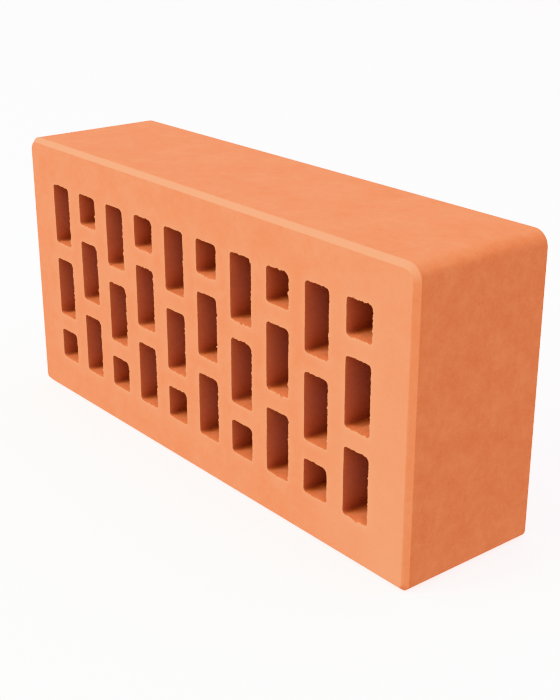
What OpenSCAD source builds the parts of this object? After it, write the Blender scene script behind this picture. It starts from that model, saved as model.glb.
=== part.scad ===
// Extruded clay facing brick with through slots, standing on one of its long narrow sides.
// X runs along the length, Y through the brick along the slots, Z up. Millimetres.
// The origin is the centre of the side that the brick stands on.

/* [Body] */
// Length of the brick, from end to end
body_length = 250; // [210:1:300]
// Width of the bed face, which is the height as the brick stands
body_height = 120; // [100:1:144]
// Thickness of the brick between its two bed faces
body_depth = 65; // [52:1:138]

/* [Edges] */
// Width of the bevel round each bed face
bevel = 2; // [1:0.25:5]
// Rounding of the corners at the two ends of the exposed long side
face_corner_r = 6.25; // [2:0.5:12]
// Rounding of the corners at the two ends of the side that the brick stands on
base_corner_r = 3.5; // [1:0.5:8]

/* [Slots] */
// Number of slot columns along the length
columns = 10; // [6:2:12]
// Width of every slot along the length
slot_width = 13; // [8:0.5:16]
// Height of the short slot in each column
short_slot = 14; // [8:0.5:20]
// Clay between two slots of one column
row_web = 7.5; // [4:0.5:10]
// Clay between the outer columns and the ends of the brick
end_shell = 20; // [12:0.5:24]
// Clay between the slots and the long sides of the brick
side_shell = 18.5; // [12:0.5:22.5]
// Rounding of the slots' corners
slot_corner_r = 1.5; // [0.5:0.25:3.5]

/* [Hidden] */
$fn = 96;
// How far a cutting tool runs past the surface that it cuts
overcut = 1;
// A column holds two long slots and a short one, which share the height that the clay leaves
long_slot = (body_height - 2 * side_shell - 2 * row_web - short_slot) / 2;
column_pitch = (body_length - 2 * end_shell - slot_width) / (columns - 1);
first_column_x = end_shell + slot_width / 2 - body_length / 2;

// The rectangle from [0, 0] to [width, height] with its four corners cut off at 45 degrees
module bevelled_rectangle(width, height, cut) {
    polygon([
        [cut, 0], [width - cut, 0], [width, cut], [width, height - cut],
        [width - cut, height], [cut, height], [0, height - cut], [0, cut]
    ]);
}

// A round post along Y, body_depth long, that tapers over the bevel at both its ends.
// Its end faces shrink to a point, set back from the bed faces, when the post is thinner than the bevel.
module corner_post(r) {
    tip = max(0, bevel - r);
    flat_r = r - bevel;
    half = concat(flat_r > 0 ? [[flat_r, tip]] : [], [[r, bevel]]);
    mirrored = [for (i = [len(half) - 1 : -1 : 0]) [half[i][0], body_depth - half[i][1]]];
    translate([0, -body_depth / 2, 0])
        rotate([-90, 0, 0])
            rotate_extrude()
                polygon(concat([[0, tip]], half, mirrored, [[0, body_depth - tip]]));
}

// What a corner rounded to r leaves of the square corner at the origin, which points along +X and +Z
module corner_offcut(r) {
    translate([-r, 0, -r])
        difference() {
            translate([0, -body_depth / 2 - overcut, 0])
                cube([r + overcut, body_depth + 2 * overcut, r + overcut]);
            corner_post(r);
        }
}

// The outer block: bevelled round both bed faces, with its four long corners rounded
module outer_block() {
    difference() {
        intersection() {
            // bevels along the two ends
            translate([-body_length / 2, -body_depth / 2, 0])
                linear_extrude(body_height)
                    bevelled_rectangle(body_length, body_depth, bevel);
            // bevels along the two long sides
            translate([body_length / 2, -body_depth / 2, 0])
                rotate([0, -90, 0])
                    linear_extrude(body_length)
                        bevelled_rectangle(body_height, body_depth, bevel);
        }
        for (side = [0, 1])
            mirror([side, 0, 0]) {
                translate([body_length / 2, 0, body_height])
                    corner_offcut(face_corner_r);
                translate([body_length / 2, 0, 0])
                    mirror([0, 0, 1])
                        corner_offcut(base_corner_r);
            }
    }
}

// The outline of a slot, centred on X, from 0 up to its height
module slot_outline(height) {
    r = slot_corner_r;
    translate([-slot_width / 2 + r, 0])
        square([slot_width - 2 * r, height]);
    translate([-slot_width / 2, r])
        square([slot_width, height - 2 * r]);
    for (x = [-slot_width / 2 + r, slot_width / 2 - r], z = [r, height - r])
        translate([x, z])
            circle(r);
}

// A slot right through the brick along Y, with its lower end at z
module slot(z, height) {
    translate([0, body_depth / 2 + overcut, z])
        rotate([90, 0, 0])
            linear_extrude(body_depth + 2 * overcut)
                slot_outline(height);
}

// One column of slots: the short slot lies at the foot, or at the head in a turned column
module slot_column(turned) {
    heights = turned ? [long_slot, long_slot, short_slot] : [short_slot, long_slot, long_slot];
    slot(side_shell, heights[0]);
    slot(side_shell + heights[0] + row_web, heights[1]);
    slot(side_shell + heights[0] + heights[1] + 2 * row_web, heights[2]);
}

module brick() {
    color([0.96, 0.61, 0.42])
        difference() {
            outer_block();
            for (i = [0 : columns - 1])
                translate([first_column_x + i * column_pitch, 0, 0])
                    slot_column(i % 2 == 1);
        }
}

brick();
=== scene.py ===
import math

import bmesh
import bpy
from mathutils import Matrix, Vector, noise


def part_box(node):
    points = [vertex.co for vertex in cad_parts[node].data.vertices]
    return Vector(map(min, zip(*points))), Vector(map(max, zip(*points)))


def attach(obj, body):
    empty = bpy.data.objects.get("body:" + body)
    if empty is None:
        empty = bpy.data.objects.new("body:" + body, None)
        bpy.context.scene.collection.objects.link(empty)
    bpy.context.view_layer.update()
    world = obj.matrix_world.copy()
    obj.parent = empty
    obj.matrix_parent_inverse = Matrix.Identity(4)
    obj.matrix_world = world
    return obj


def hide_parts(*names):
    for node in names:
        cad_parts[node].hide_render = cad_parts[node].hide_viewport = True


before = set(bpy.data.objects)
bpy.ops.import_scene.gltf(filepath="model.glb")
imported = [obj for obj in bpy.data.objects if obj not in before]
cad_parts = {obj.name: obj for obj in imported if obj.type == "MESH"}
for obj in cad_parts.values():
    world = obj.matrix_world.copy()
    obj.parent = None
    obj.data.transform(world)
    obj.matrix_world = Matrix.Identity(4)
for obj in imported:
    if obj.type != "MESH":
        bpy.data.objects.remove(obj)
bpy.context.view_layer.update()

# The brick: one block of clay, pressed through a die that leaves the slots open from bed to bed,
# cut off by a wire, bevelled round both cut faces while it was soft, and fired.
# The wire leaves the slots' rims slightly torn.
MM = 0.001
TINY = 0.001 * MM
low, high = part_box("brick")
length, depth, height = high - low
bevel = 2 * MM
top_corner = 6.25 * MM
base_corner = 3.5 * MM
columns = 10
slot_width = 13 * MM
short_slot = 14 * MM
row_web = 7.5 * MM
end_shell = 20 * MM
side_shell = 18.5 * MM
long_slot = (height - 2 * side_shell - 2 * row_web - short_slot) / 2
column_pitch = (length - 2 * end_shell - slot_width) / (columns - 1)


def column_slots(column):
    """(left, right, foot, head) of a column's three slots; the short one is at the foot or at the head."""
    left = low.x + end_shell + column * column_pitch
    heights = [short_slot, long_slot, long_slot]
    if column % 2:
        heights.reverse()
    foot = low.z + side_shell
    found = []
    for tall in heights:
        found.append((left, left + slot_width, foot, foot + tall))
        foot += tall + row_web
    return found


slots = [slot for column in range(columns) for slot in column_slots(column)]


def slot_at(x, z):
    """The slot nearest to a place on the bed face."""
    column = round((x - low.x - end_shell - slot_width / 2) / column_pitch)
    column = min(max(column, 0), columns - 1)
    return min(slots[3 * column:3 * column + 3], key=lambda slot: max(slot[2] - z, z - slot[3]))


def corner_radius(x, z, slot):
    """The die has worn: each slot's corner at the upper right is rounder than the other three."""
    right = x > (slot[0] + slot[1]) / 2
    upper = z > (slot[2] + slot[3]) / 2
    if right and upper:
        uneven = math.sin(40 * slot[0] / slot_width + 9 * slot[2] / slot_width)
        return (2.1 + 0.4 * uneven) * MM
    return 1.0 * MM if right else 1.4 * MM


def spread(start, end, step, near_start=(), near_end=()):
    """Places from start on, short of end: some at set distances from both, the rest about a step apart."""
    places = [start] + [start + gap for gap in near_start]
    first = places[-1]
    last = end - max(near_end, default=0)
    count = max(1, round((last - first) / step))
    places += [first + (last - first) * i / count for i in range(1, count)]
    return places + [end - gap for gap in sorted(near_end, reverse=True)]


def grid_lines(start, end, edges):
    """Grid lines from start to end, close together at the outline, the bevel and the slots' edges."""
    shell_step = 3 * MM
    slot_step = 1.3 * MM
    rim = (0.45 * MM, 1.1 * MM)
    outline = (bevel / 2, bevel, bevel + 0.6 * MM, base_corner, 4.8 * MM, top_corner)
    places = spread(start, edges[0], shell_step, outline, rim)
    for here, there in zip(edges, edges[1:]):
        places += spread(here, there, slot_step, rim, rim)
    return places + spread(edges[-1], end, shell_step, rim, outline) + [end]


edges_x = sorted({round(x, 7) for slot in slots for x in slot[:2]})
edges_z = sorted({round(z, 7) for slot in slots for z in slot[2:]})
lines_x = grid_lines(low.x, high.x, edges_x)
lines_z = grid_lines(low.z, high.z, edges_z)

# One bed face is a grid whose cells in the slots are taken out
bm = bmesh.new()
bmesh.ops.create_grid(bm, x_segments=len(lines_x) - 1, y_segments=len(lines_z) - 1, size=1)
for v in bm.verts:
    i = round((v.co.x + 1) / 2 * (len(lines_x) - 1))
    j = round((v.co.y + 1) / 2 * (len(lines_z) - 1))
    v.co = (lines_x[i], low.y, lines_z[j])
cut_out = []
for face in bm.faces:
    spot = face.calc_center_median()
    if any(x0 < spot.x < x1 and z0 < spot.z < z1 for x0, x1, z0, z1 in slots):
        cut_out.append(face)
bmesh.ops.delete(bm, geom=cut_out, context="FACES")

# The outline and the slots' walls run from that face to half way through, in rings that start close
# together, where the rims are torn.
ring = [edge for edge in bm.edges if edge.is_boundary]
for reach in (0.4 * MM, 1.1 * MM, 2.4 * MM, 5 * MM, 10 * MM, 18 * MM, depth / 2):
    made = bmesh.ops.extrude_edge_only(bm, edges=ring)["geom"]
    for v in made:
        if isinstance(v, bmesh.types.BMVert):
            v.co.y = low.y + reach
    ring = [edge for edge in made if isinstance(edge, bmesh.types.BMEdge)]


def rounded(x, z, centre_x, centre_z):
    """Turns the squares round a corner's centre into arcs, so that a square corner becomes a round one."""
    u, w = abs(x - centre_x), abs(z - centre_z)
    reach = max(u, w)
    turn = math.pi / 4 * min(u, w) / reach
    across, up = (math.cos(turn), math.sin(turn)) if u >= w else (math.sin(turn), math.cos(turn))
    return (centre_x + math.copysign(reach * across, x - centre_x),
            centre_z + math.copysign(reach * up, z - centre_z))


def wave(place, size, seed):
    """Smooth noise from about -1 to 1, with bumps about size across; each seed gives another pattern."""
    return noise.noise(place / size + Vector((seed * 7.3, seed * 3.1, seed * 5.7)))


# The bed face sinks to a bevel at its outline, and the block's and the slots' corners become round. The
# bevel was struck while the clay was soft, so its edge wanders by about a tenth of a millimetre.
bevel_layer = bm.faces.layers.float.new("bevel")
border = []
for v in bm.verts:
    x, z, inward = v.co.x, v.co.z, v.co.y - low.y
    from_outline = min(x - low.x, high.x - x, z - low.z, high.z - z)
    if from_outline < TINY:
        inward = bevel + inward * (1 - bevel / (depth / 2))
    elif inward < TINY:
        inward = max(0, bevel - from_outline)
    corner = top_corner if z > (low.z + high.z) / 2 else base_corner
    side_x = min(x - low.x, high.x - x)
    side_z = min(z - low.z, high.z - z)
    if side_x < corner - TINY and side_z < corner - TINY:
        centre_x = high.x - corner if x > 0 else low.x + corner
        centre_z = high.z - corner if z > height / 2 else low.z + corner
        x, z = rounded(x, z, centre_x, centre_z)
    slot = slot_at(x, z)
    x0, x1, z0, z1 = slot
    r = corner_radius(x, z, slot)
    centre_x = min(max(x, x0 + r), x1 - r)
    centre_z = min(max(z, z0 + r), z1 - r)
    in_slot = x0 - TINY < x < x1 + TINY and z0 - TINY < z < z1 + TINY
    if in_slot and abs(x - centre_x) > TINY and abs(z - centre_z) > TINY:
        x, z = rounded(x, z, centre_x, centre_z)
    v.co = (x, low.y + inward, z)
    if abs(from_outline - bevel) < TINY and inward < TINY:
        border.append(v)
for v in border:
    place = v.co.copy()
    wander = 0.16 * MM * wave(place, 5 * MM, seed=6) + 0.08 * MM * wave(place, 1.3 * MM, seed=7)
    to_middle = Vector((0, 0, height / 2)) - Vector((place.x, 0, place.z))
    if abs(place.x) > length / 2 - top_corner:
        v.co.x += math.copysign(wander, to_middle.x)
    if abs(place.z - height / 2) > height / 2 - top_corner:
        v.co.z += math.copysign(wander, to_middle.z)
for face in bm.faces:
    if abs(face.calc_center_median().y - low.y - bevel / 2) < bevel / 2 - TINY:
        face.normal_update()
        slanted = 0.3 < abs(face.normal.y) < 0.9
        if slanted:
            face[bevel_layer] = 1

# The back half mirrors the front one
merge = 0.01 * MM
bmesh.ops.mirror(bm, geom=bm.verts[:] + bm.edges[:] + bm.faces[:], axis="Y", merge_dist=merge)
bmesh.ops.remove_doubles(bm, verts=bm.verts, dist=merge)


def beside_slot(x, z):
    """Distance from the nearest slot's wall, and the direction straight out of the slot there."""
    slot = slot_at(x, z)
    x0, x1, z0, z1 = slot
    r = corner_radius(x, z, slot)
    aside = x - (x0 + x1) / 2
    above = z - (z0 + z1) / 2
    over = Vector((abs(aside) - (x1 - x0) / 2 + r, abs(above) - (z1 - z0) / 2 + r))
    if over.x > 0 and over.y > 0:
        way = over.normalized()
        gap = over.length - r
    else:
        way = Vector((1, 0)) if over.x > over.y else Vector((0, 1))
        gap = max(over) - r
    return gap, Vector((math.copysign(way.x, aside), math.copysign(way.y, above)))


def inwards(place):
    """Distance behind the nearer bed face."""
    return min(place.y - low.y, high.y - place.y)


def at_rim(v):
    """Whether a vertex lies on the edge between a bed face and a slot."""
    return inwards(v.co) < TINY and abs(beside_slot(v.co.x, v.co.z)[0]) < 10 * TINY


rim_edges = [edge for edge in bm.edges if all(at_rim(v) for v in edge.verts)]
bmesh.ops.subdivide_edges(bm, edges=rim_edges, cuts=3)
bmesh.ops.recalc_face_normals(bm, faces=bm.faces)


def linear(hex_colour):
    """An sRGB hex colour as the linear colour that a shader takes."""
    parts = [int(hex_colour[i:i + 2], 16) / 255 for i in (1, 3, 5)]
    return [c / 12.92 if c <= 0.04045 else ((c + 0.055) / 1.055) ** 2.4 for c in parts] + [1]


# The wire leaves crumbs along the slots' lower rims, tears the upper and the right-hand ones, with burrs on
# the right-hand ones, and passes the left ones almost cleanly. Some slots come off better than others.
# A rim counts as an upper one where the way out of the slot is mostly up, and so on.
lower_tear = 1.1
upper_tear = 0.7
right_tear = 0.55
left_tear = 0.2
mostly = 0.7


def tear_at(slot, way, bed):
    """How badly a slot's rim is torn on the side that way points to, which is less in its round corners."""
    if way.y > mostly:
        tear = upper_tear
    elif way.x > mostly:
        tear = right_tear
    elif way.y < -mostly:
        tear = lower_tear
    else:
        tear = left_tear
    in_arc = min(1, 2.5 * min(abs(way.x), abs(way.y)))
    this_rim = Vector((slot[0], bed, slot[2] + 40 * way.y * MM))
    ragged = 0.75 + 0.9 * wave(this_rim, 11 * MM, seed=13)
    return tear * (1 - 0.8 * in_arc) * min(1.2, max(0.25, ragged))


def crumbled(spot, way, tear, beside, inward):
    """How far the clay about a spot on a rim falls back from the slot, and sinks, as it crumbles."""
    crumb = 0.8 * MM * tear * max(0, wave(spot, 1.6 * MM, seed=1) - 0.05)
    if way.y < -mostly:
        crumb += 1.2 * MM * tear * max(0, wave(spot, 1.5 * MM, seed=15))
    ripple = 0.25 * MM * tear * wave(spot, 0.8 * MM, seed=2) + 0.15 * MM * wave(spot, 9 * MM, seed=3)
    fade = math.exp(-beside / (1.3 * MM)) * math.exp(-inward / (1.6 * MM))
    back = (0.05 * MM + crumb + ripple) * fade
    sink = (0.05 * MM + 0.4 * crumb) * fade * math.exp(-beside / (1.0 * MM))
    return back, sink


def nicked(spot, way, tear):
    """How far the very edge of a rim also falls back and sinks: nicks and dents, and burrs into the slot."""
    nick = (0.35 * wave(spot, 0.45 * MM, seed=8) + 0.3 * wave(spot, 1.8 * MM, seed=12)) * MM * tear
    burr = 1.2 * MM * max(0, wave(spot, 1.1 * MM, seed=9) - 0.25) if way.x > mostly else 0
    dent = 0.12 * MM * max(0, wave(spot, 0.6 * MM, seed=10))
    return min(nick, 0.3 * MM) - burr, dent


def dragged_by_die(place, inward):
    """How far a slot's wall lies back from flat: it is wavy where the clay dragged on the die."""
    drawn_out = Vector((place.x, place.y / 14, place.z))
    drag = 0.14 * MM * wave(drawn_out, 2.4 * MM, seed=4) + 0.1 * MM * wave(place, 6 * MM, seed=5)
    return drag * min(1, inward / (3 * MM))


# Painted shade in the slots: their walls and floors are coloured duller and darker deeper in, darkest in
# their corners
shaded_wall_front = Vector(linear("#CC7859"))
shaded_wall_inside = Vector(linear("#B28277"))
shaded_slot_floor = Vector(linear("#CD724B"))
slot_corner_shade = Vector(linear("#733426"))


def painted_slot_shade(place, slot, way, inward):
    """The painted shade on a slot's wall or floor: behind the rim it deepens inwards and towards the slot's
    corners.
    """
    deep = min(1, inward / (12 * MM))
    if abs(way.x) > mostly:
        slot_shade = shaded_wall_front.lerp(shaded_wall_inside, deep)
        # Painted shade where the wall meets the slot's floor and head
        from_foot = max(0, place.z - slot[2])
        from_head = max(0, slot[3] - place.z)
        dark = 0.65 * math.exp(-from_foot / (3 * MM)) + 0.35 * math.exp(-from_head / (4 * MM))
    else:
        slot_shade = shaded_slot_floor.lerp(shaded_wall_inside, 0.3 * deep)
        # Painted shadow along the floor beside the slot's left wall, with a random patchy tone
        from_left = max(0, place.x - slot[0])
        dark = 0.7 * math.exp(-from_left / (1.8 * MM)) + 0.3 * wave(place, 3 * MM, seed=14)
    shade = min(1, inward / (4 * MM))
    return slot_shade.lerp(slot_corner_shade, min(1, max(0, dark)) * shade)


# Painted light on the bed faces: a painted highlight beside the rims, and over their right-hand end, most
# near the foot
painted_light_from = 70 * MM
painted_light_over = 45 * MM


def painted_paleness(place, gap):
    """How strongly painted light pales the clay of a bed face."""
    towards_end = min(1, max(0, (place.x - painted_light_from) / painted_light_over))
    beside_rim = 0.25 * math.exp(-gap / (4 * MM)) + 0.5 * math.exp(-gap / (0.6 * MM))
    return beside_rim + 0.5 * towards_end * (1.3 - 0.8 * place.z / height)


# The slots' painted-shade layer's fourth number says how far its colour takes over from the faces' colour. A
# new layer is white all over, so each vertex starts with no painted shade. Nothing moves out past the
# brick's faces.
painted_light_layer = bm.verts.layers.float.new("painted_light")
slot_shade_layer = bm.verts.layers.float_color.new("slot_shade")
no_slot_shade = (0, 0, 0, 0)
moves = []
for v in bm.verts:
    place = v.co.copy()
    inward = inwards(place)
    gap, way = beside_slot(place.x, place.z)
    on_wall = abs(gap) < 40 * TINY
    move = Vector((0, 0, 0))
    v[slot_shade_layer] = no_slot_shade
    if inward < TINY:
        v[painted_light_layer] = painted_paleness(place, gap)
    if gap < 3 * MM:
        slot = slot_at(place.x, place.z)
        bed = low.y if place.y < 0 else high.y
        into = 1 if place.y < 0 else -1
        spot = Vector((place.x - way.x * gap, bed, place.z - way.y * gap))
        tear = tear_at(slot, way, bed)
        back, sink = crumbled(spot, way, tear, max(gap, 0), inward)
        # The very edge of each rim gets the full painted highlight, and its nicks and dents
        if on_wall and inward < TINY:
            v[painted_light_layer] = 1
            nick, dent = nicked(spot, way, tear)
            back += nick
            sink += dent
        move += Vector((way.x * back, into * max(0, sink), way.y * back))
        # Behind the rim, the slot's walls and floors take their painted shade, and the die's drag
        if on_wall and inward > 0.3 * MM:
            v[slot_shade_layer] = painted_slot_shade(place, slot, way, inward)
            drag = dragged_by_die(place, inward)
            move += Vector((way.x * drag, 0, way.y * drag))
    moves.append(move)
for v, move in zip(bm.verts, moves):
    v.co += move

mesh = bpy.data.meshes.new("fired_brick")
bm.to_mesh(mesh)
bm.free()
mesh.shade_smooth()
sharp_from = math.radians(32)
mesh.set_sharp_from_angle(angle=sharp_from)
brick = bpy.data.objects.new("fired_brick", mesh)
bpy.context.scene.collection.objects.link(brick)
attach(brick, "root")
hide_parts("brick")

# Fired clay: unglazed earthenware, light orange from its iron, matt and very slightly grainy.
# The colour clouds softly over the faces, and sand in the body gives a fine tooth.
clay = bpy.data.materials.new("fired_clay")
clay.use_nodes = True
tree = clay.node_tree
tree.nodes.clear()


def add_node(tree, kind, inputs=None, **settings):
    """Adds a node with its settings, and feeds its inputs from other nodes' outputs or plain values."""
    node = tree.nodes.new(kind)
    for name, value in settings.items():
        setattr(node, name, value)
    for name, value in (inputs or {}).items():
        if isinstance(value, bpy.types.NodeSocket):
            tree.links.new(value, node.inputs[name])
        else:
            node.inputs[name].default_value = value
    return node


# The clouds are about 14 mm across
where = add_node(tree, "ShaderNodeTexCoord").outputs["Object"]
clouds = add_node(tree, "ShaderNodeTexNoise",
                  {"Vector": where, "Scale": 1 / (14 * MM), "Detail": 5, "Roughness": 0.9})
clouding = add_node(tree, "ShaderNodeMapRange",
                    {"Value": clouds.outputs["Fac"], "From Min": 0.36, "From Max": 0.64})
redder_clay = linear("#D67F52")
yellower_clay = linear("#DD8B5D")
body = add_node(tree, "ShaderNodeMix",
                {"Factor": clouding.outputs["Result"], "A": redder_clay, "B": yellower_clay},
                data_type="RGBA")

# Paler bevels: partly rub wear, partly a painted highlight strongest where they face upwards; painted light
# by the rims
wear_and_highlight_clay = linear("#DC9569")
bevelled = add_node(tree, "ShaderNodeAttribute", attribute_name="bevel").outputs["Fac"]
facing = add_node(tree, "ShaderNodeNewGeometry").outputs["Normal"]
upward = add_node(tree, "ShaderNodeSeparateXYZ", {"Vector": facing}).outputs["Z"]
wear_and_upward_highlight = add_node(tree, "ShaderNodeMapRange",
                    {"Value": upward, "From Min": 0, "From Max": 0.7, "To Min": 0.15, "To Max": 1})
bevel_part = add_node(tree, "ShaderNodeMath",
                      {0: bevelled, 1: wear_and_upward_highlight.outputs["Result"]}, operation="MULTIPLY")
# Painted light beside the slots' rims and over the bed faces' right-hand end
painted_light_part = add_node(tree, "ShaderNodeAttribute", attribute_name="painted_light").outputs["Fac"]
pale_part = add_node(tree, "ShaderNodeMath",
                     {0: bevel_part.outputs["Value"], 1: painted_light_part}, operation="MAXIMUM")
wear_and_highlight = add_node(tree, "ShaderNodeMix",
                {"Factor": pale_part.outputs["Value"], "A": body.outputs["Result"], "B": wear_and_highlight_clay},
                data_type="RGBA")
# The slots' painted shade takes over from the faces' colour as far as its layer says
slot_shade_node = add_node(tree, "ShaderNodeAttribute", attribute_name="slot_shade")
in_slot = slot_shade_node.outputs["Alpha"]
slot_shaded = add_node(tree, "ShaderNodeMix",
                  {"Factor": in_slot, "A": wear_and_highlight.outputs["Result"], "B": slot_shade_node.outputs["Color"]},
                  data_type="RGBA")

# The sand grains are about 0.3 mm; they are drawn at 0.6 mm, the finest that shows
grain = add_node(tree, "ShaderNodeTexNoise",
                 {"Vector": where, "Scale": 1 / (0.6 * MM), "Detail": 2, "Roughness": 0.6})
speck = add_node(tree, "ShaderNodeMapRange",
                 {"Value": grain.outputs["Fac"], "From Min": 0.3, "From Max": 0.7,
                  "To Min": 0.965, "To Max": 1.035})
colour = add_node(tree, "ShaderNodeVectorMath",
                  {0: slot_shaded.outputs["Result"], "Scale": speck.outputs["Result"]}, operation="SCALE")
tooth = add_node(tree, "ShaderNodeBump",
                 {"Height": grain.outputs["Fac"], "Strength": 0.4, "Distance": 0.12 * MM})

# The soft clay keeps shallow dimples about 3 mm across
dimples = add_node(tree, "ShaderNodeTexNoise",
                   {"Vector": where, "Scale": 1 / (3 * MM), "Detail": 2, "Roughness": 0.6})
dimpled = add_node(tree, "ShaderNodeBump",
                   {"Height": dimples.outputs["Fac"], "Strength": 0.5, "Distance": 0.15 * MM,
                    "Normal": tooth.outputs["Normal"]})

# The die's sand drags lines along the slots, as fine as its grains; they are drawn 0.9 mm apart to show
along = add_node(tree, "ShaderNodeMapping", {"Vector": where, "Scale": (1, 0.12, 1)})
dragged = add_node(tree, "ShaderNodeTexNoise",
                   {"Vector": along.outputs["Vector"], "Scale": 1 / (0.9 * MM),
                    "Detail": 3, "Roughness": 0.7})
drag_height = add_node(tree, "ShaderNodeMath",
                       {0: dragged.outputs["Fac"], 1: in_slot}, operation="MULTIPLY")
ribbed = add_node(tree, "ShaderNodeBump",
                  {"Height": drag_height.outputs["Value"], "Strength": 0.4, "Distance": 0.5 * MM,
                   "Normal": dimpled.outputs["Normal"]})
shader = add_node(tree, "ShaderNodeBsdfPrincipled",
                  {"Base Color": colour.outputs["Vector"], "Roughness": 0.9, "IOR": 1.5,
                   "Specular IOR Level": 0.2, "Normal": ribbed.outputs["Normal"]})
add_node(tree, "ShaderNodeOutputMaterial", {"Surface": shader.outputs["BSDF"]})
mesh.materials.append(clay)

# The studio floor: one wide sheet of matt white paper that the brick stands on. It glows, so that only the
# brick's contact shadow shows on it, and it throws no light back at the clay.
floor_width = 6
paper_glow = 2.2
white = linear("#FFFFFF")
bpy.ops.mesh.primitive_plane_add(size=floor_width, location=(0, 0, 0))
floor = bpy.context.object
floor.name = "studio_floor"
paper = bpy.data.materials.new("studio_paper")
paper.use_nodes = True
sheet = paper.node_tree.nodes["Principled BSDF"]
sheet.inputs["Base Color"].default_value = white
sheet.inputs["Roughness"].default_value = 1
sheet.inputs["Emission Color"].default_value = white
sheet.inputs["Emission Strength"].default_value = paper_glow
floor.data.materials.append(paper)
floor.visible_diffuse = False
floor.visible_glossy = False

# Soft studio light: a pale room all round, and one large square softbox high at the front left.
# To the camera the room is as white as the floor.
room_colour = (1, 0.906, 0.98, 1)
room_strength = 1.045
backdrop_strength = 3.5
world = bpy.data.worlds.new("studio")
world.use_nodes = True
sky = world.node_tree
sky.nodes.clear()
room = add_node(sky, "ShaderNodeBackground", {"Color": room_colour, "Strength": room_strength})
backdrop = add_node(sky, "ShaderNodeBackground", {"Color": white, "Strength": backdrop_strength})
to_camera = add_node(sky, "ShaderNodeLightPath").outputs["Is Camera Ray"]
either = add_node(sky, "ShaderNodeMixShader",
                  {0: to_camera, 1: room.outputs["Background"], 2: backdrop.outputs["Background"]})
add_node(sky, "ShaderNodeOutputWorld", {"Surface": either.outputs["Shader"]})
bpy.context.scene.world = world

lamp = bpy.data.lights.new("softbox", "AREA")
lamp.size = 1.2
lamp.energy = 52
lamp.color = (1, 1.17, 1.07)
softbox = bpy.data.objects.new("softbox", lamp)
softbox.location = (-0.5, -1.54, 1.6)
softbox.rotation_mode = "QUATERNION"
to_brick = Vector((0, 0, height / 2)) - softbox.location
softbox.rotation_quaternion = to_brick.to_track_quat("-Z", "Y")
bpy.context.scene.collection.objects.link(softbox)

# The camera: a short telephoto lens, half a metre from the brick, that looks down on its front bed face
# and its right-hand end.
azimuth = math.radians(50.9)
elevation = math.radians(21.6)
distance = 0.529
aim = Vector((10.4, 4.9, 47.4)) * MM
level = math.cos(elevation)
towards_camera = Vector((math.sin(azimuth) * level, -math.cos(azimuth) * level, math.sin(elevation)))
camera = bpy.data.objects.new("camera", bpy.data.cameras.new("camera"))
camera.data.sensor_width = 36
camera.data.lens = 65.4
camera.data.clip_start = 0.01
camera.location = aim + towards_camera * distance
camera.rotation_mode = "QUATERNION"
camera.rotation_quaternion = (-towards_camera).to_track_quat("-Z", "Y")
bpy.context.scene.collection.objects.link(camera)
bpy.context.scene.camera = camera

# A neutral view keeps the clay's colour as it is lit
view = bpy.context.scene.view_settings
view.view_transform = "Khronos PBR Neutral"
view.look = "None"
